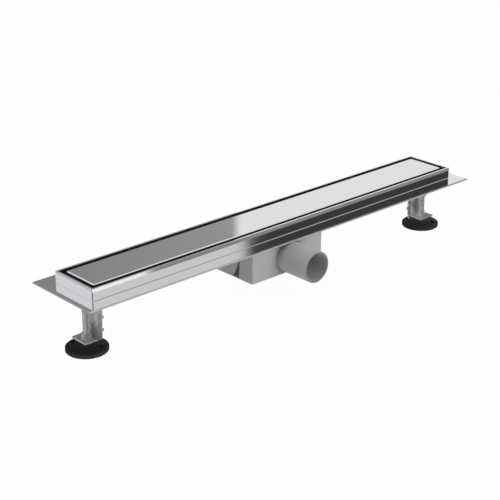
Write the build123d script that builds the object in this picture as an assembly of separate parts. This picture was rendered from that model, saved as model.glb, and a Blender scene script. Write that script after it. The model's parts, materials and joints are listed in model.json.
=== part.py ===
from build123d import *
import math
import os

# Linear shower drain: a folded stainless channel with a loose cover, a moulded trap with a side outlet
# and two levelling feet. X runs along the channel, +Y is the wall side with the wide flange, Z is up.
# The origin is the middle of the cover's top face, level with the finished floor. Millimetres.

# Channel and flange
channel_length = 600.0  # outside the end walls
channel_width = 70.0  # outside the long walls
rim_height = 25.0  # rim above the flange's top face
tray_sheet = 1.5
corner_radius = 1.2  # upright outer corners
flange_left = 5.5  # flange past each outer wall
flange_right = 39.0
flange_front = 2.0
flange_back = 39.0

# Tray floor, which falls from both ends to the outlet
floor_drop = 1.5
floor_apron = 5.5  # level floor past each end of the trap
floor_end = 40.0  # level floor inside each end wall
outlet_length = 96.0
outlet_width = 44.0
outlet_radius = 6.0
outlet_y = 1.9

# Top frame, which slides over the tray's upstand
frame_sheet = 1.2
frame_height = 14.6  # from the seam up to the rim
frame_play = 0.15
seam_bevel = 0.5
joggle_rise = 1.5  # height of the bend that steps the tray's wall inwards
lip_lean = 0.5  # how far the lip leans in
lip_side = 4.2  # height of the leaning lip on the long sides
lip_end = 2.2  # and on the ends
rim_round = 0.3

# Cover and its legs
cover_gap = 5.2  # water gap between rim and cover
cover_sheet = 1.5
cover_skirt = 9.0
cover_bend = 2.6  # outer radius of the turned-down edges
cover_corner = 3.4  # radius of its four corners seen from above
leg_end_inset = 57.5  # outer legs from the cover's ends
leg_trap_gap = 55.5  # inner legs from the trap's ends
leg_sheet = 1.2
leg_bend = 2.0
leg_width = 18.0  # along X
leg_spread = 34.0  # between the outsides of a pair of legs
leg_toe = 9.0
pad_height = 2.0
pad_length = 14.0
pad_width = 7.0

# Clamp ring, screws and gasket
clamp_sheet = 1.5
clamp_rim = 6.0  # ring past the long sides of the outlet
clamp_margin = 3.25  # ring past the screws' axes
screw_from_outlet = 7.75  # screws' axes from the outlet's ends
screw_row_inset = 3.0  # outer screws inside the outlet's long sides
screw_radius = 1.75
screw_length = 14.5
screw_head_radius = 3.2
screw_head = 2.2
screw_bevel = 1.0
screw_slot = 0.9
screw_recess = 1.1
screw_play = 0.05  # round the shank in its boss
screw_hole_play = 0.25  # and in the sheets
boss_wall = 1.6
boss_length = 14.0
boss_inset = 0.4  # bosses from the trap's end faces
gasket_width = 3.0
gasket_height = 2.0
gasket_offset = 1.5  # from the outlet's edge
gasket_play = 0.1

# Trap
trap_lip = 9.5  # trap past the outlet's front side
trap_back_lip = 14.5  # and past its back
trap_wall = 2.5
trap_deck = 4.0  # thickness of the clamped top
trap_round = 2.0
weir_from_front = 24.6  # the notch under the weir, at its foot
weir_width = 11.4
weir_height = 24.0
weir_roof = 1.4
weir_floor = 1.2  # strip that closes the notch from below
spigot_radius = 20.0
spigot_wall = 1.8
spigot_length = 50.4
spigot_drop = 0.3  # spigot below the flange
spigot_lift = 1.7  # spigot above the trap's underside
spigot_bevel = 0.4
spigot_relief = 0.5  # taken off the radius of the neck under the flange
spigot_stop = 1.0  # where the neck ends in front of the flange

# Trap insert, its seal and the strainer
insert_play = 0.3
insert_rim = 3.0
insert_plate = 2.0
insert_wall = 1.8
insert_skirt = 9.0
dip_inset = 7.0  # dip tube from the outlet's ends
dip_gap = 1.6  # dip tube behind the weir's foot
dip_clearance = 5.0  # above the trap's inner floor
inlet_radius = 0.9
seal_height = 2.4
seal_depth = 1.2
seal_play = 0.05
lug_offset = 10.9  # lifting lug in front of the outlet's middle
lug_length = 26.0
lug_sheet = 3.0
lug_height = 9.0
lug_round = 4.5
lug_hole = 2.6
strainer_sheet = 1.0
strainer_margin = 3.0  # plate past the inlet
strainer_collar = 5.0
strainer_play = 0.3
strainer_bridge = 2.6  # metal between two slots
strainer_slots = 13

# Brackets
stud_inset = 14.0  # levelling studs from the channel's ends
bracket_sheet = 2.0
bracket_width = 25.5
post_offset = 8.0  # post's web from the stud's axis
post_depth = 6.5  # cheeks at the tab
post_foot_depth = 4.8  # and at the base plate
post_height = 47.2  # from the base plate up to the tab
base_outer = 11.0  # base plate past the stud's axis, outwards
base_inner = 12.5  # and inwards
collar_wall = 1.6
collar_foot = 0.8  # widening of the collar at its foot
collar_height = 5.6
collar_flare = 0.9
ear_reach = 6.0  # ears of the cheeks beside the tab, past the web
ear_low = 16.0  # below the tab at the web
ear_high = 13.0  # and at the ear's end
low_nub = 8.9  # nubs above the base plate
high_nub = 24.2
nub_reach = 2.0
nub_height = 3.0
web_groove_width = 2.6
web_groove_depth = 0.8  # pressed in from both faces
web_groove_low = 13.4  # groove's lower end above the base plate
web_groove_rise = 4.8
web_groove_inner = 0.9  # groove's ends from the middle of the web
web_groove_outer = 8.0
cheek_hole = 1.6
cheek_hole_level = 12.8
hook_inset = 1.2  # from the cheek's edge
hook_width = 3.5
hook_drop = 5.0
weld_stud_radius = 2.0
weld_stud_length = 6.7
weld_stud_offset = 5.0  # past the levelling stud's axis
weld_stud_play = 0.25
weld_nut_flats = 7.0
weld_nut_height = 3.2
weld_nut_gap = 1.0  # to the bracket's cheeks

# Levelling feet
stud_radius = 4.0
stud_headroom = 1.3  # under the weld studs
stud_play = 0.05
stud_bevel = 0.8
lock_nut_flats = 13.0
lock_nut_height = 4.0
nut_play = 0.1
foot_radius = 25.0
foot_height = 8.4
foot_rim = 5.6  # height of the rim
foot_cone = 2.2  # rise of the top face from the rim to the hub
hub_flats = 19.0
hub_gap = 1.3  # under the lock nut
hub_floor = 3.0  # moulding under the stud's end
rib_count = 80
rib_groove = 0.5
rib_step = 0.9  # ribbed band past the disc
rib_margin = 0.6  # band from the rim's top and bottom
foot_hole_radius = 2.2
foot_hole_inset = 7.0
foot_hole_angle = -62.0
countersink_depth = 3.0
foot_recess = 2.0
recess_wall = 4.5  # rim outside the recess
recess_hub = 9.5  # radius of the hub inside it

# Levels and places that follow from the sizes above
flange_top = -rim_height
flange_under = flange_top - tray_sheet
seam_level = -frame_height
step_in = frame_sheet + frame_play
rim_width = step_in + tray_sheet
upstand_top = -frame_sheet - frame_play
floor_end_top = flange_top + floor_drop
floor_end_under = floor_end_top - tray_sheet
slope_end = channel_length / 2 - tray_sheet - floor_end
cover_length = channel_length - 2 * (rim_width + cover_gap)
cover_width = channel_width - 2 * (rim_width + cover_gap)
clamp_top = flange_top + clamp_sheet
screw_x = outlet_length / 2 + screw_from_outlet
screw_pitch = outlet_width / 2 - screw_row_inset
screw_spots = [(sx * screw_x, outlet_y + row * screw_pitch) for sx in (-1, 1) for row in (-1, 0, 1)]
boss_half = screw_radius + boss_wall
trap_length = 2 * (screw_x + boss_half + boss_inset)
trap_front = outlet_y - outlet_width / 2 - trap_lip
trap_back = outlet_y + outlet_width / 2 + trap_back_lip
deck_under = flange_under - trap_deck
spigot_z = flange_under - spigot_drop - spigot_radius
trap_bottom = spigot_z - spigot_radius - spigot_lift
weir_front = trap_front + weir_from_front
weir_back = weir_front + weir_width
weir_top = trap_bottom + weir_height
slope_start = trap_length / 2 + floor_apron
outer_leg = cover_length / 2 - leg_end_inset
inner_leg = trap_length / 2 + leg_trap_gap
leg_places = (-outer_leg, -inner_leg, inner_leg, outer_leg)
plug_length = outlet_length - 2 * insert_play
plug_width = outlet_width - 2 * insert_play
insert_top = clamp_top + insert_plate
dip_length = outlet_length - 2 * dip_inset
dip_front = weir_back + dip_gap
dip_back = outlet_y + plug_width / 2
dip_depth = dip_back - dip_front
dip_y = (dip_front + dip_back) / 2
dip_bottom = trap_bottom + trap_wall + dip_clearance
inlet_length = dip_length - 2 * insert_wall
inlet_width = dip_depth - 2 * insert_wall
stud_x = channel_length / 2 - stud_inset
stud_top = floor_end_under - weld_stud_length - stud_headroom
weld_stud_x = stud_x + weld_stud_offset
weld_stud_y = bracket_width / 2 - bracket_sheet - weld_nut_gap - weld_nut_flats / 2
weld_spots = [(sx * weld_stud_x, sy * weld_stud_y) for sx in (-1, 1) for sy in (-1, 1)]
tab_under = floor_end_under - bracket_sheet
base_top = tab_under - post_height
base_under = base_top - bracket_sheet
lock_nut_top = base_under - nut_play
hub_top = lock_nut_top - lock_nut_height - hub_gap
foot_bottom = hub_top - foot_height
foot_rim_top = foot_bottom + foot_rim


def block(x_span, y_span, z_span):
    """Box between two values on each axis."""
    size = [span[1] - span[0] for span in (x_span, y_span, z_span)]
    middle = [(span[0] + span[1]) / 2 for span in (x_span, y_span, z_span)]
    return Pos(*middle) * Box(*size)


def prism(length, width, radius, z_span, y=0.0):
    """Upright prism on a rounded rectangle centred on x = 0."""
    outline = Pos(0, y, z_span[0]) * RectangleRounded(length, width, radius)
    return extrude(outline, z_span[1] - z_span[0])


def rod(spot, radius, z_span):
    """Upright round bar."""
    return Pos(*spot, (z_span[0] + z_span[1]) / 2) * Cylinder(radius, z_span[1] - z_span[0])


def hexagon(spot, flats, z_span):
    """Upright hexagonal prism, given across its flats."""
    outline = Pos(*spot, z_span[0]) * RegularPolygon(flats / 2, 6, major_radius=False)
    return extrude(outline, z_span[1] - z_span[0])


def turned(spot, points):
    """Solid turned about an upright axis from (radius, z) points."""
    profile = Plane.XZ * Polygon(*points, align=None)
    return Pos(*spot, 0) * revolve(profile, Axis.Z)


def along_x(points, length):
    """Outline of (y, z) points drawn out evenly to both sides of x = 0."""
    return extrude(Plane.YZ * Polygon(*points, align=None), length / 2, both=True)


def along_y(points, y_span):
    """Outline of (x, z) points drawn out between two values of y."""
    profile = Plane.XZ.offset(-y_span[0]) * Polygon(*points, align=None)
    return extrude(profile, y_span[1] - y_span[0], dir=(0, 1, 0))


def floor_level(x):
    """Height of the floor's top face at a place along the channel."""
    share = (abs(x) - slope_start) / (slope_end - slope_start)
    return flange_top + floor_drop * min(max(share, 0.0), 1.0)


def make_tray():
    """Channel walls with a stepped upstand, falling floor, sealing flange and weld studs."""
    lower = prism(channel_length, channel_width, corner_radius, (flange_under, seam_level))
    lower = chamfer(lower.faces().sort_by(Axis.Z)[-1].edges(), seam_bevel)
    upper = prism(
        channel_length - 2 * step_in,
        channel_width - 2 * step_in,
        corner_radius,
        (seam_level, upstand_top),
    )
    inner = (channel_length - 2 * tray_sheet, channel_width - 2 * tray_sheet)
    mouth = (channel_length - 2 * rim_width, channel_width - 2 * rim_width)
    joggle_top = seam_level - tray_sheet
    joggle_foot = joggle_top - joggle_rise
    inside = block(
        (-inner[0] / 2, inner[0] / 2), (-inner[1] / 2, inner[1] / 2), (flange_under, joggle_foot)
    )
    inside += loft([Pos(0, 0, joggle_foot) * Rectangle(*inner), Pos(0, 0, joggle_top) * Rectangle(*mouth)])
    inside += block(
        (-mouth[0] / 2, mouth[0] / 2), (-mouth[1] / 2, mouth[1] / 2), (joggle_top, upstand_top)
    )
    flange = block(
        (-channel_length / 2 - flange_left, channel_length / 2 + flange_right),
        (-channel_width / 2 - flange_front, channel_width / 2 + flange_back),
        (flange_under, flange_top),
    )
    tray = lower + upper + flange - inside

    floor_run = [-channel_length / 2 + tray_sheet / 2, -slope_end, -slope_start]
    floor_run += [-x for x in reversed(floor_run)]
    floor_face = [(x, floor_level(x)) for x in floor_run]
    floor_back = [(x, z - tray_sheet) for x, z in reversed(floor_face)]
    wall_middle = (channel_width - tray_sheet) / 2
    tray += along_y(floor_face + floor_back, (-wall_middle, wall_middle))
    tray -= prism(outlet_length, outlet_width, outlet_radius, (flange_under, flange_top), outlet_y)
    for spot in screw_spots:
        tray -= rod(spot, screw_radius + screw_hole_play, (flange_under, flange_top))
    for spot in weld_spots:
        tray += rod(spot, weld_stud_radius, (floor_end_under - weld_stud_length, floor_end_under))
    return tray


def make_top_frame():
    """Frame with a leaning lip, a narrow rim and a skirt that hides the tray's upstand."""
    frame = prism(channel_length, channel_width, corner_radius, (seam_level, 0))
    frame = chamfer(frame.faces().sort_by(Axis.Z)[0].edges(), seam_bevel)
    side = channel_width / 2
    end = channel_length / 2
    side_form = [(side, seam_level), (side, -lip_side), (side - lip_lean, 0)]
    end_form = [(end, seam_level), (end, -lip_end), (end - lip_lean, 0)]
    frame &= along_x(side_form + [(-y, z) for y, z in reversed(side_form)], channel_length)
    frame &= along_y(end_form + [(-x, z) for x, z in reversed(end_form)], (-side, side))
    frame -= block(
        (-end + frame_sheet, end - frame_sheet),
        (-side + frame_sheet, side - frame_sheet),
        (seam_level, -frame_sheet),
    )
    frame -= block(
        (-end + rim_width, end - rim_width), (-side + rim_width, side - rim_width), (-frame_sheet, 0)
    )
    rim = frame.faces().sort_by(Axis.Z)[-1]
    return fillet(rim.edges(), rim_round)


def make_cover():
    """Cover plate with all four edges turned down."""
    outside = prism(cover_length, cover_width, cover_corner, (-cover_skirt, 0))
    outside = fillet(outside.faces().sort_by(Axis.Z)[-1].edges(), cover_bend)
    inside = prism(
        cover_length - 2 * cover_sheet,
        cover_width - 2 * cover_sheet,
        cover_corner - cover_sheet,
        (-cover_skirt, -cover_sheet),
    )
    inside = fillet(inside.faces().sort_by(Axis.Z)[-1].edges(), cover_bend - cover_sheet)
    return outside - inside


def leg_foot_level(x):
    """Underside of the toes of the leg at x, a pad's height above the highest floor under it."""
    return max(floor_level(x - pad_length / 2), floor_level(x + pad_length / 2)) + pad_height


def make_cover_leg(x):
    """Strap folded to a bridge with outward toes, welded under the cover."""
    half = leg_spread / 2 - leg_sheet / 2
    top = -cover_sheet - leg_sheet / 2
    foot = leg_foot_level(x) + leg_sheet / 2
    toe = half + leg_toe - leg_sheet / 2
    path = [(-toe, foot), (-half, foot), (-half, top), (half, top), (half, foot), (toe, foot)]
    strip = FilletPolyline(*path, radius=leg_bend)
    profile = make_face(offset(strip, leg_sheet / 2, side=Side.BOTH))
    return Pos(x, 0, 0) * extrude(Plane.YZ * profile, leg_width / 2, both=True)


def make_cover_pads():
    """Rubber pads under the toes of the cover's legs."""
    pads = []
    reach = leg_spread / 2 + leg_toe / 2
    for x in leg_places:
        foot = leg_foot_level(x)
        for side in (-1, 1):
            pads.append(
                block(
                    (x - pad_length / 2, x + pad_length / 2),
                    (side * reach - pad_width / 2, side * reach + pad_width / 2),
                    (foot - pad_height, foot),
                )
            )
    return Compound(pads)


def trap_side():
    """Side view of the trap: two chambers with the weir's notch between them, as (y, z) points."""
    roof_front = weir_front - weir_roof
    return [
        (trap_front, flange_under),
        (trap_front, trap_bottom),
        (weir_front, trap_bottom),
        (roof_front, weir_top),
        (roof_front + weir_roof, weir_top),
        (weir_back, trap_bottom),
        (trap_back, trap_bottom),
        (trap_back, flange_under),
    ]


def along_spigot(radius, y_span):
    """Round bar along the spigot's axis."""
    bar = Rot(90, 0, 0) * Cylinder(radius, y_span[1] - y_span[0])
    return Pos(0, (y_span[0] + y_span[1]) / 2, spigot_z) * bar


def make_trap_body():
    """Hollow moulded trap with its weir over a closed notch, clamped deck, screw bosses and spigot."""
    side = Polygon(*trap_side(), align=None)
    trap = extrude(Plane.YZ * side, trap_length / 2, both=True)
    corners = trap.edges().filter_by(Axis.Z).group_by(SortBy.LENGTH)[-1]
    trap = fillet(corners, trap_round)
    mouth = trap_front - spigot_length
    neck = -channel_width / 2 - flange_front - spigot_stop
    socket_wall = along_spigot(spigot_radius, (mouth, neck))
    trap += chamfer(socket_wall.edges().sort_by(Axis.Y)[0], spigot_bevel)
    trap += along_spigot(spigot_radius - spigot_relief, (neck, trap_front + trap_wall))

    hollow = offset(side, -trap_wall, kind=Kind.INTERSECTION)
    hollow = extrude(Plane.YZ * hollow, trap_length / 2 - trap_wall, both=True)
    deck = (deck_under, flange_under)
    trap -= hollow - block((-trap_length / 2, trap_length / 2), (trap_front, trap_back), deck)
    sill = (weir_front - trap_wall / 2, weir_back + trap_wall / 2)
    trap += block((-trap_length / 2, trap_length / 2), sill, (trap_bottom, trap_bottom + weir_floor))
    boss_span = (flange_under - boss_length, flange_under)
    for x, y in screw_spots:
        boss = block((x - boss_half, x + boss_half), (y - boss_half, y + boss_half), boss_span)
        trap += boss
    trap -= along_spigot(spigot_radius - spigot_wall, (mouth, trap_front + trap_wall))
    trap -= prism(outlet_length, outlet_width, outlet_radius, deck, outlet_y)
    trap -= gasket_ring(gasket_play)
    for spot in screw_spots:
        trap -= rod(spot, screw_radius + screw_play, (boss_span[0] + boss_wall, flange_under))
    return trap


def gasket_ring(play):
    """Ring round the outlet in the trap's deck, widened by the play on both sides."""
    inner = gasket_offset - play
    outer = gasket_offset + gasket_width + play
    span = (flange_under - gasket_height, flange_under)
    ring = prism(outlet_length + 2 * outer, outlet_width + 2 * outer, outlet_radius + outer, span, outlet_y)
    return ring - prism(
        outlet_length + 2 * inner, outlet_width + 2 * inner, outlet_radius + inner, span, outlet_y
    )


def make_clamp_ring():
    """Flat ring on the tray's floor that the clamp screws pull down."""
    span = (flange_top, clamp_top)
    ring = prism(
        2 * (screw_x + clamp_margin), outlet_width + 2 * clamp_rim, outlet_radius, span, outlet_y
    )
    ring -= prism(outlet_length, outlet_width, outlet_radius, span, outlet_y)
    for spot in screw_spots:
        ring -= rod(spot, screw_radius + screw_hole_play, span)
    return ring


def make_clamp_screws():
    """Bevelled-head screws with a cross recess."""
    screws = []
    tip = clamp_top - screw_length
    head_top = clamp_top + screw_head
    outline = [
        (0, tip),
        (screw_radius, tip),
        (screw_radius, clamp_top),
        (screw_head_radius, clamp_top),
        (screw_head_radius, head_top - screw_bevel),
        (screw_head_radius - screw_bevel, head_top),
        (0, head_top),
    ]
    for spot in screw_spots:
        screw = turned(spot, outline)
        for angle in (0, 90):
            recess = Rot(0, 0, angle) * Box(screw_head_radius, screw_slot, 2 * screw_recess)
            screw -= Pos(*spot, head_top) * recess
        screws.append(screw)
    return Compound(screws)


def make_trap_insert():
    """Lift-out insert: a rim on the clamp ring, a skirt in the outlet and a dip tube in the trap."""
    insert = prism(
        outlet_length + 2 * insert_rim,
        outlet_width + 2 * insert_rim,
        outlet_radius + insert_rim,
        (clamp_top, insert_top),
        outlet_y,
    )
    skirt = (clamp_top - insert_skirt, clamp_top)
    skirt_wall = insert_wall + seal_depth
    plug_radius = outlet_radius - insert_play
    insert += prism(plug_length, plug_width, plug_radius, skirt, outlet_y) - prism(
        plug_length - 2 * skirt_wall,
        plug_width - 2 * skirt_wall,
        plug_radius - skirt_wall,
        skirt,
        outlet_y,
    )
    insert += prism(dip_length, dip_depth, inlet_radius + insert_wall, (dip_bottom, clamp_top), dip_y)
    insert -= prism(inlet_length, inlet_width, inlet_radius, (dip_bottom, insert_top), dip_y)
    insert -= seal_ring(seal_play)
    lug_y = outlet_y - lug_offset
    lug = block(
        (-lug_length / 2, lug_length / 2),
        (lug_y - lug_sheet / 2, lug_y + lug_sheet / 2),
        (insert_top, insert_top + lug_height),
    )
    lug_top = lug.edges().filter_by(Axis.Y).sort_by(Axis.Z)[-2:]
    lug = fillet(lug_top, lug_round)
    eye = Pos(0, lug_y, insert_top + lug_height / 2) * Rot(90, 0, 0) * Cylinder(lug_hole, lug_sheet)
    return insert + (lug - eye)


def seal_ring(play):
    """Ring round the insert's skirt at the level of the trap's deck, widened by the play."""
    middle = (flange_under + deck_under) / 2
    span = (middle - seal_height / 2 - play, middle + seal_height / 2 + play)
    inner = insert_play + seal_depth + play
    outer = seal_play - play
    ring = prism(
        outlet_length - 2 * outer, outlet_width - 2 * outer, outlet_radius - outer, span, outlet_y
    )
    return ring - prism(
        outlet_length - 2 * inner, outlet_width - 2 * inner, outlet_radius - inner, span, outlet_y
    )


def make_strainer():
    """Slotted plate with a collar that drops into the inlet."""
    sheet = (insert_top, insert_top + strainer_sheet)
    strainer = prism(
        inlet_length + 2 * strainer_margin, inlet_width + 2 * strainer_margin, strainer_margin, sheet, dip_y
    )
    collar_length = inlet_length - 2 * strainer_play
    collar_width = inlet_width - 2 * strainer_play
    collar = (insert_top - strainer_collar, insert_top)
    inner_x = collar_length / 2 - strainer_sheet
    inner_y = (dip_y - collar_width / 2 + strainer_sheet, dip_y + collar_width / 2 - strainer_sheet)
    strainer += prism(collar_length, collar_width, inlet_radius - strainer_play, collar, dip_y)
    strainer -= block((-inner_x, inner_x), inner_y, collar)
    pitch = 2 * inner_x / strainer_slots
    half = (pitch - strainer_bridge) / 2
    for number in range(strainer_slots):
        x = (number - (strainer_slots - 1) / 2) * pitch
        strainer -= block((x - half, x + half), inner_y, sheet)
    return strainer


def cheek_edge(level):
    """Inner edge of the right bracket's cheeks at a height, which leans in towards the base plate."""
    share = (level - base_under) / (tab_under - base_under)
    return stud_x - post_offset - post_foot_depth - share * (post_depth - post_foot_depth)


def make_cheek(y_span):
    """One cheek of the post, with an ear beside the tab and two nubs on its inner edge."""
    web_face = stud_x - post_offset
    outline = [
        (cheek_edge(tab_under), tab_under),
        (cheek_edge(base_under), base_under),
        (web_face, base_under),
        (web_face, tab_under - ear_low),
        (web_face + ear_reach, tab_under - ear_high),
        (web_face + ear_reach, tab_under),
    ]
    cheek = along_y(outline, y_span)
    for height in (low_nub, high_nub):
        level = base_top + height
        nub = (level - nub_height / 2, level + nub_height / 2)
        cheek += block((cheek_edge(level) - nub_reach, cheek_edge(level) + nub_reach), y_span, nub)
    return cheek


def make_collar():
    """Collar drawn up from the base plate, before it is bored."""
    radius = stud_radius + stud_play + collar_wall
    top = base_top + collar_height
    return turned(
        (stud_x, 0),
        [
            (0, base_top),
            (radius + collar_foot, base_top),
            (radius, base_top + collar_foot),
            (radius, top),
            (0, top),
        ],
    )


def web_grooves(web):
    """Stiffening grooves in a shallow V, pressed into both faces of the web."""
    grooves = []
    foot = base_top + web_groove_low
    for side in (-1, 1):
        low = Vector(side * web_groove_inner, foot)
        high = Vector(side * web_groove_outer, foot + web_groove_rise)
        middle = (low + high) / 2
        tilt = math.degrees(math.atan2(high.Y - low.Y, high.X - low.X))
        outline = SlotCenterToCenter((high - low).length, web_groove_width, rotation=tilt)
        for x in (web[0], web[1] - web_groove_depth):
            start = Plane.YZ.offset(x) * Pos(middle.X, middle.Y)
            grooves.append(extrude(start * outline, web_groove_depth))
    return grooves


def make_right_bracket():
    """Sheet folded to a top tab, a channel-shaped post and a base plate with a collar for the stud."""
    half = bracket_width / 2
    across = (-half, half)
    near_cheek = (-half, -half + bracket_sheet)
    far_cheek = (half - bracket_sheet, half)
    web_face = stud_x - post_offset
    web = (web_face - bracket_sheet, web_face)
    outer_end = stud_x + base_outer
    bracket = block((web[0], outer_end), across, (tab_under, floor_end_under))
    bracket += block(web, across, (base_under, tab_under))
    bracket += block((stud_x - base_inner, outer_end), across, (base_under, base_top))
    bracket += make_cheek(near_cheek) + make_cheek(far_cheek) + make_collar()

    bore = stud_radius + stud_play
    collar_top = base_top + collar_height
    flare_foot = collar_top - collar_flare
    bracket -= rod((stud_x, 0), bore, (base_under, collar_top))
    bracket -= turned(
        (stud_x, 0),
        [(0, flare_foot), (bore, flare_foot), (bore + collar_flare, collar_top), (0, collar_top)],
    )
    for groove in web_grooves(web):
        bracket -= groove
    hole = Rot(90, 0, 0) * Cylinder(cheek_hole, bracket_sheet)
    hole_place = (web_face - post_depth / 2, half - bracket_sheet / 2, base_top + cheek_hole_level)
    bracket -= Pos(*hole_place) * hole
    hook_x = cheek_edge(base_under) + hook_inset
    bracket += block((hook_x, hook_x + hook_width), far_cheek, (base_under - hook_drop, base_under))
    for sy in (-1, 1):
        spot = (weld_stud_x, sy * weld_stud_y)
        bracket -= rod(spot, weld_stud_radius + weld_stud_play, (tab_under, floor_end_under))
    return bracket


def make_bracket_nuts():
    """Nuts that hold the brackets' tabs on the tray's weld studs."""
    span = (tab_under - weld_nut_height, tab_under)
    bore = weld_stud_radius + stud_play
    return Compound([hexagon(spot, weld_nut_flats, span) - rod(spot, bore, span) for spot in weld_spots])


def make_stud():
    """Levelling stud, bevelled at its top end and moulded into the foot at the other."""
    stud = rod((stud_x, 0), stud_radius, (foot_bottom + hub_floor, stud_top))
    return chamfer(stud.edges().filter_by(GeomType.CIRCLE).sort_by(Axis.Z)[-1], stud_bevel)


def make_lock_nut():
    """Thin nut under the base plate."""
    span = (lock_nut_top - lock_nut_height, lock_nut_top)
    return hexagon((stud_x, 0), lock_nut_flats, span) - rod((stud_x, 0), stud_radius + stud_play, span)


def ribbed_band(spot):
    """Band of V-shaped ribs round the foot's rim."""
    star = []
    for number in range(2 * rib_count):
        radius = foot_radius - rib_groove * (number % 2)
        angle = math.pi * number / rib_count
        star.append((radius * math.cos(angle), radius * math.sin(angle)))
    outline = Pos(*spot, foot_bottom + rib_margin) * Polygon(*star, align=None)
    return extrude(outline, foot_rim - 2 * rib_margin)


def make_foot():
    """Foot disc with a ribbed rim, a coned top, a hexagonal hub and two countersunk fixing holes."""
    spot = (stud_x, 0)
    disc_radius = foot_radius - rib_step
    cone_top = foot_rim_top + foot_cone
    foot = turned(
        spot,
        [
            (0, foot_bottom),
            (disc_radius, foot_bottom),
            (disc_radius, foot_rim_top),
            (hub_flats / 2, cone_top),
            (0, cone_top),
        ],
    )
    foot += ribbed_band(spot)
    foot += hexagon(spot, hub_flats, (foot_rim_top, hub_top))
    foot -= rod(spot, stud_radius + stud_play, (foot_bottom + hub_floor, hub_top))
    recess = (foot_bottom, foot_bottom + foot_recess)
    foot -= rod(spot, foot_radius - recess_wall, recess) - rod(spot, recess_hub, recess)
    hole_circle = foot_radius - foot_hole_inset
    sink = cone_top - countersink_depth
    for turn in (0, 180):
        angle = math.radians(foot_hole_angle + turn)
        hole = (stud_x + hole_circle * math.cos(angle), hole_circle * math.sin(angle))
        foot -= rod(hole, foot_hole_radius, (foot_bottom, cone_top))
        foot -= turned(
            hole,
            [
                (0, sink),
                (foot_hole_radius, sink),
                (foot_hole_radius + countersink_depth, cone_top),
                (0, cone_top),
            ],
        )
    return foot


def to_left(right_piece, keep_turn=False):
    """The same piece at the other end: slid along for the round feet, mirrored for the brackets."""
    if keep_turn:
        return Pos(-2 * stud_x, 0, 0) * right_piece
    return mirror(right_piece, Plane.YZ)


os.makedirs("parts", exist_ok=True)

right_bracket = make_right_bracket()
stud = make_stud()
lock_nut = make_lock_nut()
foot = make_foot()

pieces = {
    "tray": make_tray(),
    "top_frame": make_top_frame(),
    "cover_plate": make_cover(),
    "cover_pads": make_cover_pads(),
    "strainer": make_strainer(),
    "trap_insert": make_trap_insert(),
    "insert_seal": seal_ring(0.0),
    "clamp_ring": make_clamp_ring(),
    "clamp_screws": make_clamp_screws(),
    "trap_gasket": gasket_ring(0.0),
    "trap_body": make_trap_body(),
    "left_bracket": to_left(right_bracket),
    "right_bracket": right_bracket,
    "bracket_nuts": make_bracket_nuts(),
    "left_stud": to_left(stud, keep_turn=True),
    "right_stud": stud,
    "left_lock_nut": to_left(lock_nut, keep_turn=True),
    "right_lock_nut": lock_nut,
    "left_foot": to_left(foot, keep_turn=True),
    "right_foot": foot,
}
for number, place in enumerate(leg_places, start=1):
    pieces[f"cover_leg_{number}"] = make_cover_leg(place)

for name, piece in pieces.items():
    export_step(piece, f"parts/{name}.step")
    print(name, round(piece.volume, 1))
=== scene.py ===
# %% [markdown]
# # A linear shower drain in a white studio
# The drain is a long channel of polished stainless steel with a loose cover, a grey moulded trap under its
# middle and two levelling feet. Every solid was modelled in CAD, so this lesson does not rebuild them. It
# loads them as a fixed frame and gives them what CAD leaves out: finishes, threads, light and a camera.
# The box of the frame is kept, and the floor is laid under it.

# %% Load the frame
import json
import math

import bmesh
import bpy
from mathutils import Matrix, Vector


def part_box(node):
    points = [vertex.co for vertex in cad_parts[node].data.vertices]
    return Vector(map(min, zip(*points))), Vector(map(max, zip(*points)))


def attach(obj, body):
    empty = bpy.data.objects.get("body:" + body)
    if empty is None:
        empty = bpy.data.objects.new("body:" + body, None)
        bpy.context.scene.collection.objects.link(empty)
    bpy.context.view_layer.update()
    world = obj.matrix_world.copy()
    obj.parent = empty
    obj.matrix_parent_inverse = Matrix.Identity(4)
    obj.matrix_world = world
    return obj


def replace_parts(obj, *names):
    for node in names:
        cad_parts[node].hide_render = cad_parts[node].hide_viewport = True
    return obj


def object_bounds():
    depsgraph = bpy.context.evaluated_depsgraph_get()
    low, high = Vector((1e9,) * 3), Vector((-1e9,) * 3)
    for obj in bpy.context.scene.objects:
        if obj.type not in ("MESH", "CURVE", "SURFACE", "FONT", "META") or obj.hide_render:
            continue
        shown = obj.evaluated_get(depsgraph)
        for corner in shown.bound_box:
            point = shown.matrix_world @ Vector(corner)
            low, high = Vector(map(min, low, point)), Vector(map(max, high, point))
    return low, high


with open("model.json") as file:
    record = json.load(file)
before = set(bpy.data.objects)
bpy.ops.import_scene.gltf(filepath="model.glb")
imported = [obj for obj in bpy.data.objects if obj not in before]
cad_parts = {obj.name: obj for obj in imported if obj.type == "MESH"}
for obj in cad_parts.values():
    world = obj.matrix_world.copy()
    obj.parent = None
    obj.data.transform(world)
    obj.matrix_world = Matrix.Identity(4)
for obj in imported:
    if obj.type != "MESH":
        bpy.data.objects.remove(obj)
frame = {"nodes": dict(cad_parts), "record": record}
nodes = frame["nodes"]
cad_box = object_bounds()
print("CAD nodes:", len(nodes), "box:", [[round(v, 4) for v in corner] for corner in cad_box])

# %% [markdown]
# ## The camera
# The photograph was taken from the left, a little above the floor's level, with a long lens. A camera can
# be placed by eye, but the straight edges of a channel show every degree, so the angles and the lens were
# fitted to the corners seen in the picture. The camera looks back along one direction, which sets its turn
# without a target.

# %% Camera
TURN, RISE = math.radians(-42.49), math.radians(22.52)
STAND = (-1.04812, -1.10422, 0.58287)
LENS, SENSOR = 94.645, 36.0

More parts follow.
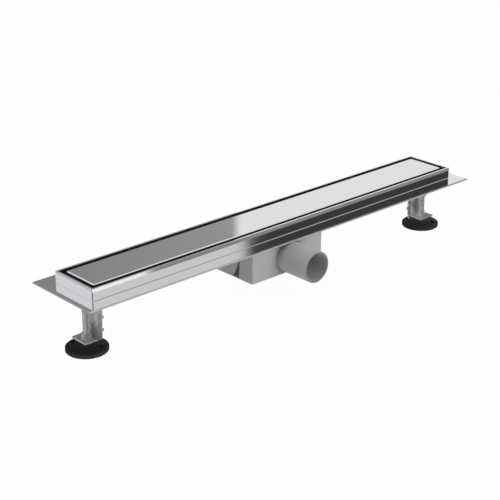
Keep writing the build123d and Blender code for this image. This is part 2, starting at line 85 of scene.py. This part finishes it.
flat = math.cos(RISE)
to_camera = Vector((math.sin(TURN) * flat, -math.cos(TURN) * flat, math.sin(RISE)))
lens = bpy.data.cameras.new("studio_camera")
lens.lens, lens.sensor_width = LENS, SENSOR
camera = bpy.data.objects.new("studio_camera", lens)
camera.location = STAND
camera.rotation_mode = "QUATERNION"
camera.rotation_quaternion = (-to_camera).to_track_quat("-Z", "Y")
bpy.context.scene.collection.objects.link(camera)
bpy.context.scene.camera = camera
bpy.context.scene.view_settings.view_transform = "Standard"
print("camera looks along", [round(v, 3) for v in -to_camera])

# %% [markdown]
# ## Sums with sockets
# A finish is mostly arithmetic: a base value plus a little noise times a mask. Drawing each Math node by
# hand hides that arithmetic, so a small class wraps a socket and turns Python's operators into Math nodes.
# Its one other method adds any kind of node: the settings go in first, because they decide which sockets
# the node has.


# %% A socket that can be added and multiplied
class Wire:
    """One output socket of a node tree."""

    def __init__(self, socket):
        self.socket = socket

    @classmethod
    def node(cls, tree, kind, settings=None, sockets=None, out=0):
        made = tree.nodes.new(kind)
        for name, value in (settings or {}).items():
            setattr(made, name, value)
        for name, value in (sockets or {}).items():
            if isinstance(value, Wire):
                tree.links.new(value.socket, made.inputs[name])
            else:
                made.inputs[name].default_value = value
        return cls(made.outputs[out])

    def math(self, operation, first, second):
        tree = self.socket.id_data
        return Wire.node(tree, "ShaderNodeMath", {"operation": operation}, {0: first, 1: second})

    def __add__(self, other):
        return self.math("ADD", self, other)

    def __radd__(self, other):
        return self.math("ADD", other, self)

    def __sub__(self, other):
        return self.math("SUBTRACT", self, other)

    def __rsub__(self, other):
        return self.math("SUBTRACT", other, self)

    def __mul__(self, other):
        return self.math("MULTIPLY", self, other)

    def __rmul__(self, other):
        return self.math("MULTIPLY", other, self)


print("socket sums ready")


# %% Coordinates, steps and fades
def axis_of(vector, axis):
    """One coordinate of a vector."""
    return Wire.node(vector.socket.id_data, "ShaderNodeSeparateXYZ", {}, {"Vector": vector}, out=axis)


def step(value, low, high):
    """0 below low, 1 above high and a smooth rise between."""
    return Wire.node(
        value.socket.id_data,
        "ShaderNodeMapRange",
        {"interpolation_type": "SMOOTHSTEP"},
        {"Value": value, "From Min": low, "From Max": high},
    )


def fade(share, first, second):
    """One number or wire faded into another."""
    return first + share * (second - first)


def mix_colour(share, first, second):
    """One colour faded into another, because a Math node would turn it grey."""
    return Wire.node(
        share.socket.id_data,
        "ShaderNodeMix",
        {"data_type": "RGBA"},
        {0: share, 6: first, 7: second},
        out=2,
    )


def grey(level, blue=0.0):
    """A grey, or a cold one with a little more blue."""
    return (level, level, level + blue, 1.0)


print("steps and fades ready")

# %% [markdown]
# ## Ingredients of a finish
# All finishes here read Object coordinates in metres, so a noise scale is simply features per metre.
# Stretching the coordinates before the noise turns specks into polishing lines. Sharp CAD edges look cut
# from paper, while a real edge always has a tiny round that catches light. Bevelling every edge would be
# heavy, so a Bevel node bends the shading normal there, and a Bump node adds the grain on top. Shade
# gathers in creases, and an Ambient Occlusion node finds those by asking how open the surface is, so that
# the finishes can paint that shade into their colour.


# %% Noise, rounded edges and grain
EDGE_SAMPLES = 6


def new_finish(name):
    """A material with its tree, its Principled shader and its coordinates."""
    material = bpy.data.materials.new(name)
    material.use_nodes = True
    tree = material.node_tree
    place = Wire.node(tree, "ShaderNodeTexCoord", out="Object")
    return material, tree, tree.nodes["Principled BSDF"], place


def noise(place, per_metre, stretch=(1, 1, 1), detail=2.0):
    """Noise between 0 and 1, with its features drawn out where stretch is small."""
    tree = place.socket.id_data
    drawn = Wire.node(tree, "ShaderNodeMapping", {}, {"Vector": place, "Scale": stretch})
    sockets = {"Vector": drawn, "Scale": per_metre, "Detail": detail}
    return Wire.node(tree, "ShaderNodeTexNoise", {}, sockets, out="Fac")


def rounded(tree, radius):
    """Normal that is bent round the sharp edges."""
    return Wire.node(tree, "ShaderNodeBevel", {"samples": EDGE_SAMPLES}, {"Radius": radius})


def grain(height, depth, normal=None):
    """Normal that follows a height between 0 and 1 over that depth in metres."""
    sockets = {"Height": height, "Distance": depth, "Strength": 1.0}
    if normal:
        sockets["Normal"] = normal
    return Wire.node(height.socket.id_data, "ShaderNodeBump", {}, sockets)


print("noise and grain ready")


# %% Openness, upward faces and a filled shader
SHADE_SAMPLES = 12


def openness(tree, reach):
    """1 on an open face, less in creases and hollows that are narrower than the reach."""
    settings = {"samples": SHADE_SAMPLES}
    return Wire.node(tree, "ShaderNodeAmbientOcclusion", settings, {"Distance": reach}, out="AO")


def upward(tree):
    """1 on a face that looks up, 0 on an upright one and -1 on an underside."""
    return axis_of(Wire.node(tree, "ShaderNodeNewGeometry", out="Normal"), "Z")


def fill(shader, values):
    """Puts numbers, colours or wires on the Principled shader's sockets."""
    for name, value in values.items():
        if isinstance(value, Wire):
            shader.id_data.links.new(value.socket, shader.inputs[name])
        else:
            shader.inputs[name].default_value = value


print("ingredients ready")

# %% [markdown]
# ## Painted shade, a painted reflection and rough edges on the sheet metal
# The tray, its top frame and the cover are one kind of sheet, but not one finish. Inside the channel, seen
# through the gap round the cover, it gets no light, so that shade is painted in as a dark, dull colour, and
# the shears leave the flange's edges rough and matte. The narrow strip of flange in front would mirror the
# wall that stands on it, bright or dark, so it is made matte and that reflection is painted in with the
# tones of that wall. These could be more materials, but faces would have to be picked for them. Masks that
# compare the place with a node's box find them as well. The underside of the channel is bright again, so
# what looks down is left out of the painted shade mask.

# %% Masks on the sheet metal
SOFT = 0.0001  # half the width of a mask's edge
RIM = 0.0026  # rim of the top frame that stays bright
LID_PLAY = 0.001  # round the cover
LID_BEND = 0.0005  # bright part of the cover's bent edge
SHEARED_EDGE = 0.0002
UNDERSIDE, UPRIGHT = -0.6, -0.3  # how far up a face looks
WALL_TURN = -0.08  # where the strip in front turns from bright to dark
TURN_REACH = 0.02  # half the length of that turn
REFLECTED_BRIGHT_WALL, REFLECTED_DARK_WALL = grey(0.72), grey(0.1)

polished_steel, tree, shader, place = new_finish("polished_steel")
along, across, level = axis_of(place, "X"), axis_of(place, "Y"), axis_of(place, "Z")


def over(node, inset):
    """1 over a node's outline seen from above, drawn in by an inset."""
    low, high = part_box(node)
    mask = 1.0
    for run, start, end in ((along, low.x, high.x), (across, low.y, high.y)):
        start, end = start + inset, end - inset
        mask = mask * step(run, start - SOFT, start + SOFT) * (1 - step(run, end - SOFT, end + SOFT))
    return mask


# Painted shade: the inside of the channel, where the gap shows it, is painted a dark, dull colour.
inside = over("top_frame", RIM) * step(upward(tree), UNDERSIDE, UPRIGHT)
below_rim = 1 - step(level + LID_BEND * over("cover_plate", -LID_PLAY), -3 * SOFT, -SOFT)
painted_shade_inside = inside * below_rim
front_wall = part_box("top_frame")[0].y
# Painted reflection: the strip of flange in front takes the bright or dark tone of the wall it would
# mirror.
front_strip = 1 - step(across, front_wall - 2 * SOFT, front_wall - SOFT)
past_turn = step(along, WALL_TURN - TURN_REACH, WALL_TURN + TURN_REACH)
painted_reflection_tone = mix_colour(past_turn, REFLECTED_BRIGHT_WALL, REFLECTED_DARK_WALL)
edge = 1 - over("tray", SHEARED_EDGE)
matte = 1 - (1 - edge) * (1 - front_strip)
print("masks on the sheet:", len(tree.nodes), "nodes")

# %% [markdown]
# ## Polished stainless steel
# The sheet is polished until it mirrors the room, so most of what one sees is the studio and not the
# metal. A perfect mirror would look like a computer's. The wheel leaves faint lines along the channel,
# hands leave smudges, and both only change the roughness by a few hundredths.

# %% Polished steel
SHEET_TONES = grey(0.746, 0.009), grey(0.781, 0.009)
CUT_TONE = grey(0.5)
UNLIT_TONE = grey(0.004)
LINE_DEPTH = 0.0000003

wheel_lines = noise(place, 1.0, (14, 2600, 2600), detail=3.0)
smudges = step(noise(place, 26.0, (0.5, 1, 1), detail=4.0), 0.42, 0.72)
tone = mix_colour(noise(place, 9.0), *SHEET_TONES)
# The front strip's painted reflection and the grey of the cut edges go into the tone.
tone = mix_colour(edge, mix_colour(front_strip, tone, painted_reflection_tone), CUT_TONE)
# The inside of the channel takes the unlit tone as painted shade.
fill(
    shader,
    {
        "Metallic": 1 - painted_shade_inside - 0.85 * matte,
        "Base Color": mix_colour(painted_shade_inside, tone, UNLIT_TONE),
        "Roughness": 0.028 + 0.014 * wheel_lines + 0.02 * smudges + 0.6 * painted_shade_inside + 0.45 * matte,
        "Specular IOR Level": 0.1,
        "Normal": grain(wheel_lines, LINE_DEPTH),
    },
)
print("polished steel:", len(tree.nodes), "nodes")

# %% [markdown]
# ## Satin steel
# The hidden legs, the clamp ring and the strainer come straight from the rolling mill. The same lines as
# before are coarser and the roughness is several times higher, so the metal glows softly and mirrors
# nothing. What lies deep under the cover is shaded by its openness, so it stays quiet in the gap.

# %% Satin steel
GAP_REACH = 0.05  # of the shade under the cover
GAP_SHADE_TONE = grey(0.05)
MILL_TONES = grey(0.56, 0.01), grey(0.64, 0.01)
MILL_DEPTH = 0.000004

satin_steel, tree, shader, place = new_finish("satin_steel")
mill_lines = noise(place, 1.0, (1800, 60, 1800), detail=3.0)
# Painted shade: what lies deep under the cover is painted towards a dark tone by its openness.
lit = step(openness(tree, GAP_REACH), 0.3, 0.9)
sheet = mix_colour(noise(place, 60.0), *MILL_TONES)
fill(
    shader,
    {
        "Metallic": 1.0,
        "Base Color": mix_colour(lit, GAP_SHADE_TONE, sheet),
        "Roughness": 0.26 + 0.12 * mill_lines,
        "Normal": grain(mill_lines, MILL_DEPTH, rounded(tree, 0.0003)),
    },
)
print("satin steel:", len(tree.nodes), "nodes")

# %% [markdown]
# ## Zinc plating
# The brackets, nuts and studs are plated. Zinc sets in small crystals, each with its own shine, which a
# Voronoi pattern gives at the right size. White bloom gathers in clouds over it and dulls the metal. The
# shade in the creases of the folded sheet is painted into the colour. The base plates lie level in the
# channel's shade, so what faces up is painted darker than the cut edges. Blotchy stains come from a coarse
# noise, and two large dark patches that the photograph shows are placed: a painted shadow low on the left
# post and a dark patch in the middle of the right one. The studs take far less painted shade and a paler
# plating, so they stay brighter, and the recipe is a function with two results.


# %% Dark patches on the posts
# A painted shadow low on the left post, and a dark patch in the middle of the right one.
LEFT_POST_SHADOW = {"middle": (-0.278, -0.006, -0.072), "reach": (0.006, 0.014, 0.018)}
RIGHT_POST_DARK_PATCH = {"middle": (0.276, 0.001, -0.058), "reach": (0.004, 0.008, 0.022)}
RAGGED = 300.0  # features per metre of a stain's edge


def blot(place, middle, reach):
    """1 in the middle of a dark patch, 0 past its reach along each axis, with a ragged edge."""
    tree = place.socket.id_data
    scale = [1 / r for r in reach]
    shift = [-m / r for m, r in zip(middle, reach)]
    local = Wire.node(tree, "ShaderNodeMapping", {}, {"Vector": place, "Location": shift, "Scale": scale})
    far = Wire.node(tree, "ShaderNodeVectorMath", {"operation": "LENGTH"}, {0: local}, out="Value")
    return 1 - step(far + noise(place, RAGGED), 0.8, 1.6)


print("stains ready")


# %% Zinc plating
CRYSTALS = 650.0  # features per metre
BLOOMS = 120.0
STAINS = 150.0
CREASE_REACH = 0.05
BLOOM_TONE = grey(0.6)
CRYSTAL_DEPTH = 0.000003


def zinc_finish(name, shade_and_stain, palest):
    """Plating with crystals and bloom, stains, and painted shade in the creases and on faces that look up.
    """
    material, tree, shader, place = new_finish(name)
    cells = {"Vector": place, "Scale": CRYSTALS}
    crystals = Wire.node(tree, "ShaderNodeTexVoronoi", {}, cells, out="Color")
    shine = Wire.node(tree, "ShaderNodeSeparateColor", {}, {"Color": crystals}, out="Red")
    bloom = step(noise(place, BLOOMS, detail=5.0), 0.45, 0.75)
    stain = step(noise(place, STAINS, detail=1.0), 0.48, 0.66)
    posts = blot(place, **LEFT_POST_SHADOW) + blot(place, **RIGHT_POST_DARK_PATCH)
    # Painted shade: creases by their openness, and faces that look up, as lying in the channel's shade.
    # Stains and the dark patches on the posts darken it too.
    lit_and_unstained = openness(tree, CREASE_REACH) * (1 - 0.65 * step(upward(tree), 0.5, 0.9))
    lit_and_unstained = lit_and_unstained * (1 - 0.3 * stain) * (1 - 0.75 * posts)
    metal = mix_colour(shine, grey(palest - 0.1, 0.015), grey(palest))
    plating = mix_colour(0.3 * bloom, metal, BLOOM_TONE)
    fill(
        shader,
        {
            "Metallic": 1 - 0.1 * bloom,
            "Base Color": mix_colour(lit_and_unstained, grey(shade_and_stain), plating),
            "Roughness": 0.42 + 0.08 * shine + 0.08 * bloom,
            "Normal": grain(shine, CRYSTAL_DEPTH, rounded(tree, 0.0004)),
        },
    )
    print(name, len(tree.nodes), "nodes")
    return material


zinc_steel = zinc_finish("zinc_steel", shade_and_stain=0.08, palest=0.82)
# The studs: a brighter copy with a paler plating and far less painted shade.
stud_zinc = zinc_finish("stud_zinc", shade_and_stain=0.35, palest=0.85)

# %% [markdown]
# ## Grey moulded plastic
# The trap is moulded in light grey plastic from a lightly eroded tool. Its skin is an even satin with a
# fine grain, and slow clouds where the melt cooled unevenly. The colour varies by a few percent only.
# Creases, and what lies close under the flange, get painted shade in the same way as the zinc's. The
# spigot's bore is painted darker still, as painted shade, and its end face is painted a little darker too,
# as painted shade. The record's mount gives the spigot's axis and radius, so the bore's mask follows it.

# %% Grey plastic
SKIN_TONES = grey(0.4, 0.005), grey(0.44)
BORE_SHADE_TONE = grey(0.29)
END_SHADE_TONE = grey(0.26)
CREASE_SHADE_TONE = grey(0.05)
SHADE_REACH = 0.02
EROSION_DEPTH = 0.00002
BORE_WALL = 0.001  # less than the spigot's wall

grey_plastic, tree, shader, place = new_finish("grey_plastic")
erosion = noise(place, 2600.0, detail=3.0)
flow = noise(place, 34.0, (1, 1, 0.5), detail=3.0)
skin = mix_colour(flow, *SKIN_TONES)
spigot = next(mount for mount in frame["record"]["mounts"] if mount["name"] == "outlet_spigot")
end_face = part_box("trap_body")[0].y
# Painted shade on the spigot's end face.
shaded_end = 1 - step(axis_of(place, "Y"), end_face + SOFT, end_face + 5 * SOFT)
aside = axis_of(place, "X") - spigot["pos_m"][0]
over_axis = axis_of(place, "Z") - spigot["pos_m"][2]
inner = spigot["dims"]["r_mm"] / 1000 - BORE_WALL
# Painted shade in the spigot's bore.
bore = 1 - step(aside * aside + over_axis * over_axis, (inner - SOFT) ** 2, (inner + SOFT) ** 2)
skin = mix_colour(shaded_end, mix_colour(bore, skin, BORE_SHADE_TONE), END_SHADE_TONE)
# Painted shade in creases and close under the flange, from openness.
fill(
    shader,
    {
        "Base Color": mix_colour(step(openness(tree, SHADE_REACH), 0.2, 0.78), CREASE_SHADE_TONE, skin),
        "Roughness": 0.4 + 0.1 * erosion + 0.06 * flow,
        "Normal": grain(erosion, EROSION_DEPTH, rounded(tree, 0.0006)),
    },
)
print("grey plastic:", len(tree.nodes), "nodes")

# %% [markdown]
# ## Black moulded plastic and rubber
# The foot discs are black and nearly dull with a coarser grain. A little grey is mixed in, in clouds, where
# the normal points sideways: partly scuffs on the ribbed rims and partly painted light on the sides. Rubber
# takes the same recipe with a duller skin.


# %% Black plastic and rubber
BLACK_TONE, SCUFF_AND_SIDE_LIGHT_TONE = grey(0.007), grey(0.07)
CLOUDS = 90.0  # features per metre


def black_finish(name, per_metre, dullness, depth, edge):
    """Black skin with a grain, a duller cloud, and sides greyed partly by scuffs and partly by painted
    light.
    """
    material, tree, shader, place = new_finish(name)
    skin = noise(place, per_metre, detail=3.0)
    cloud = noise(place, CLOUDS, detail=3.0)
    # Grey on the sides: partly scuffs on the rims, partly painted light.
    scuff_and_side_light = (1 - step(upward(tree), 0.1, 0.6)) * cloud
    fill(
        shader,
        {
            "Base Color": mix_colour(scuff_and_side_light, BLACK_TONE, SCUFF_AND_SIDE_LIGHT_TONE),
            "Roughness": dullness + 0.12 * skin + 0.12 * cloud,
            "Specular IOR Level": 0.05,
            "Normal": grain(skin, depth, rounded(tree, edge)),
        },
    )
    print(name, len(tree.nodes), "nodes")
    return material


black_plastic = black_finish("black_plastic", per_metre=1500.0, dullness=0.34, depth=0.00004, edge=0.0005)
black_rubber = black_finish("black_rubber", per_metre=2400.0, dullness=0.6, depth=0.00002, edge=0.0003)

# %% [markdown]
# ## Finishes onto the frame
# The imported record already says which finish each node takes. Reading it there keeps the two files in
# step, and a node that is added later gets its finish without a new line here. The nodes are then hidden
# from glossy rays: a wall that mirrors the flange in front of it looks busy, and the drain reads better
# when it mirrors the studio only.

# %% Give every node its finish
finishes = {
    "polished_steel": polished_steel,
    "satin_steel": satin_steel,
    "zinc_steel": zinc_steel,
    "grey_plastic": grey_plastic,
    "black_plastic": black_plastic,
    "black_rubber": black_rubber,
}
for part in frame["record"]["subparts"]:
    skin_of = nodes[part["node"]].data.materials
    skin_of.clear()
    skin_of.append(finishes[part["material_slot"]])
for node in nodes.values():
    node.visible_glossy = False

# %% [markdown]
# ## Threaded studs
# The CAD studs are plain rods, because a thread is slow to compute and MuJoCo has no use for it. Here each
# one is replaced by a real M8 thread. A spin that also climbs is all it takes: the outline of one pitch is
# turned about the axis and lifted by one pitch a turn, so each turn meets the next. The ends are then cut
# flat and closed.

# %% Outline of the thread
PITCH = 0.00125
CREST = 0.004
ROOT = 0.00334
STEPS = 30  # in one turn
END_BEVEL = 0.0008
WELD = 0.00001  # distance at which doubles are merged
outline = [(ROOT, 0.0), (ROOT, 0.1), (CREST, 0.46), (CREST, 0.6), (ROOT, 0.96), (ROOT, 1.0)]
print("thread", 2000 * CREST, "mm across, pitch", 1000 * PITCH, "mm")


# %% Threaded studs
def cut_flat(mesh, low, high):
    """Cuts a mesh off under and over two levels and closes the ends."""
    for height, up in ((low, -1), (high, 1)):
        bmesh.ops.bisect_plane(
            mesh,
            geom=mesh.verts[:] + mesh.edges[:] + mesh.faces[:],
            plane_co=(0, 0, height),
            plane_no=(0, 0, up),
            clear_outer=True,
        )
    bmesh.ops.holes_fill(mesh, edges=[edge for edge in mesh.edges if edge.is_boundary], sides=0)


def threaded_stud(name, node, body):
    """Thread of the node's length, cut flat at both ends and pointed a little at the top."""
    low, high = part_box(node)
    axis = (low + high) / 2
    turns = math.ceil((high.z - low.z) / PITCH) + 2
    start = low.z - 1.5 * PITCH
    mesh = bmesh.new()
    corners = [mesh.verts.new((axis.x + r, axis.y, start + share * PITCH)) for r, share in outline]
    edges = [mesh.edges.new(pair) for pair in zip(corners, corners[1:])]
    bmesh.ops.spin(
        mesh,
        geom=corners + edges,
        cent=(axis.x, axis.y, 0.0),
        axis=(0, 0, 1),
        dvec=(0, 0, PITCH / STEPS),
        angle=2 * math.pi * turns,
        steps=STEPS * turns,
        use_merge=False,
        use_duplicate=False,
    )
    bmesh.ops.remove_doubles(mesh, verts=mesh.verts[:], dist=WELD)
    cut_flat(mesh, low.z, high.z)
    for corner in mesh.verts:
        reach = Vector((corner.co.x - axis.x, corner.co.y - axis.y))
        limit = CREST - END_BEVEL + (high.z - corner.co.z)
        if reach.length > limit:
            reach *= limit / reach.length
            corner.co.x, corner.co.y = axis.x + reach.x, axis.y + reach.y
    bmesh.ops.recalc_face_normals(mesh, faces=mesh.faces[:])
    data = bpy.data.meshes.new(name)
    mesh.to_mesh(data)
    mesh.free()
    data.materials.append(stud_zinc)
    stud = bpy.data.objects.new(name, data)
    stud.visible_glossy = False
    bpy.context.scene.collection.objects.link(stud)
    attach(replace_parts(stud, node), body)
    print(name, len(data.polygons), "faces,", turns - 2, "turns")


threaded_stud("left_threaded_stud", "left_stud", "left_foot_assembly")
threaded_stud("right_threaded_stud", "right_stud", "right_foot_assembly")

# %% [markdown]
# ## The studio's light
# A mirror needs a room worth mirroring. Photographers hang white sheets and grey or black cards round
# polished metal, and each straight edge in the reflection is the edge of a card. The cards could be planes
# in the scene, but they would also shade the drain, so they are painted on the world by direction and
# shown to glossy rays only. Diffuse light comes from an even sky, and the camera itself sees plain white.

# %% Card edges by direction
world = bpy.data.worlds.new("studio")
bpy.context.scene.world = world
world.use_nodes = True
world.cycles.sampling_method = "NONE"
sky = world.node_tree
direction = Wire.node(sky, "ShaderNodeTexCoord", out="Generated")
height = axis_of(direction, "Z")


def beyond(normal, soft):
    """1 on the side of a great circle that the normal points to."""
    ends = {0: direction, 1: normal}
    side = Wire.node(sky, "ShaderNodeVectorMath", {"operation": "DOT_PRODUCT"}, ends, out="Value")
    return step(side, -soft, soft)


def past(degrees, soft):
    """1 past a bearing, counted from +Y towards +X."""
    bearing = math.radians(degrees)
    return beyond((math.cos(bearing), -math.sin(bearing), 0.0), soft)


def above(degrees, soft):
    """1 above an elevation."""
    sine = math.sin(math.radians(degrees))
    return step(height, sine - soft, sine + soft)


print("card edges ready")

# %% [markdown]
# ## The cards themselves
# Level faces, such as the cover and the flange, mirror what hangs above the horizon. There a grey card
# meets a white sheet in one sharp line, which is the slanting seam across the cover. Upright walls and the
# leaning lip mirror what stands below it, and each has a seam of its own. The paper below is a little
# colder than the sheets above, most of all beside the drain's end.

# %% Cards over the drain
HORIZON = 4.0  # elevations in degrees
CARD_TOP = 32.0
CARD_EDGE = 12.0  # bearings in degrees
CARD_GLOW = 36.0
COVER_SEAM = 41.85
SHEET_DUSK = 60.0
SHEET_END = 106.0
SHEET_NORMAL = (0.7705, 0.4469, -0.4542)  # of the slanting plane that ends the white sheet

grey_card = fade(past(CARD_EDGE, 0.08), 0.6, 0.255 + 0.1 * past(CARD_GLOW, 0.12))
grey_side = fade(above(CARD_TOP, 0.03), grey_card, 0.95)
hung_edge = beyond(SHEET_NORMAL, 0.03)
white_side = fade(hung_edge, 0.2 * past(SHEET_DUSK, 0.1), 0.93 - 0.45 * past(SHEET_END, 0.06))
upper_room = fade(past(COVER_SEAM, 0.004), grey_side, white_side)
print("cards over the drain:", len(sky.nodes), "nodes")

# %% Cards round the drain
FRONT = 112.0  # bearings in degrees
WALL_SEAM = 137.7
LIP_SEAM = 144.95
LENS_START, LENS_END = 165.0, 290.0
LIP_LEVEL = -17.5  # elevation over which only the lip looks

front = past(FRONT, 0.05)
behind_lens = past(LENS_START, 0.05) * (1 - past(LENS_END, 0.05))
wall_room = fade(front, 0.805, fade(past(WALL_SEAM, 0.006), 0.05, 0.74)) - 0.55 * behind_lens
lip_room = fade(front, 0.6, fade(past(LIP_SEAM, 0.006), 0.29, 1.1)) - 0.8 * behind_lens
lower_room = fade(above(LIP_LEVEL, 0.015), wall_room, lip_room)
room = fade(above(HORIZON, 0.04), lower_room, upper_room)
print("studio cards:", len(sky.nodes), "nodes")

# %% Sky, cards and white background
SKY = 0.57
PLAIN_PAPER, COLD_PAPER = grey(1.0), grey(0.99, 0.04)

seen = Wire.node(sky, "ShaderNodeLightPath", out="Is Camera Ray")
mirrored = Wire.node(sky, "ShaderNodeLightPath", out="Is Glossy Ray")
brightness = fade(seen, fade(mirrored, SKY, room), 1.0)
cold = mirrored * (1 - above(HORIZON, 0.04)) * (1 - 0.6 * front)
tint = mix_colour(cold, PLAIN_PAPER, COLD_PAPER)
light = Wire.node(sky, "ShaderNodeVectorMath", {"operation": "SCALE"}, {0: tint, "Scale": brightness})
sky.links.new(light.socket, sky.nodes["Background"].inputs["Color"])
print("sky level", SKY)

# %% [markdown]
# ## Lamps and floor
# Two large soft lamps give the plastic its shape: a low key in front lights the trap's face, and a lamp
# high behind the channel lights the spigot's top and leaves its root in the channel's shade. They are
# hidden from glossy rays, because the cards already stand for them. The floor is mostly clear to the
# camera, so it stays white, and the small share of white paint in it still takes the shadow.


# %% Lamps
def soft_lamp(name, place, target, size, power):
    """Square area lamp that points at a target."""
    data = bpy.data.lights.new(name, "AREA")
    data.size = size
    data.energy = power
    lamp = bpy.data.objects.new(name, data)
    lamp.location = place
    lamp.rotation_mode = "QUATERNION"
    lamp.rotation_quaternion = (Vector(target) - Vector(place)).to_track_quat("-Z", "Y")
    lamp.visible_glossy = False
    bpy.context.scene.collection.objects.link(lamp)
    print(name, power, "W")


soft_lamp("key_lamp", place=(0.1, -1.5, 0.5), target=(0, 0, -0.04), size=0.9, power=9.8)
soft_lamp("back_lamp", place=(0.6, 1.0, 1.5), target=(0, 0, 0), size=0.6, power=7.0)

# %% Floor
FLOOR_REACH = 4.0
FLOOR_GAP = 0.0002  # under the feet
CLEAR = 0.97  # share of the floor that the camera looks through

floor_paint, tree, shader, place = new_finish("studio_floor")
fill(shader, {"Base Color": grey(0.9), "Roughness": 0.9})
clear = Wire.node(tree, "ShaderNodeBsdfTransparent")
to_lens = Wire.node(tree, "ShaderNodeLightPath", out="Is Camera Ray")
paint = Wire(shader.outputs["BSDF"])
veil = Wire.node(tree, "ShaderNodeMixShader", {}, {0: CLEAR * to_lens, 1: paint, 2: clear})
tree.links.new(veil.socket, tree.nodes["Material Output"].inputs["Surface"])
ground = bmesh.new()
bmesh.ops.create_grid(ground, x_segments=1, y_segments=1, size=FLOOR_REACH)
bmesh.ops.translate(ground, verts=ground.verts[:], vec=(0, 0, cad_box[0].z - FLOOR_GAP))
floor_mesh = bpy.data.meshes.new("studio_floor")
ground.to_mesh(floor_mesh)
ground.free()
floor_mesh.materials.append(floor_paint)
floor = bpy.data.objects.new("studio_floor", floor_mesh)
floor.visible_glossy = False
bpy.context.scene.collection.objects.link(floor)
print("floor at", round(cad_box[0].z, 4))

# %% [markdown]
# ## Closing the lesson

# %% Finish
print("lesson finished")
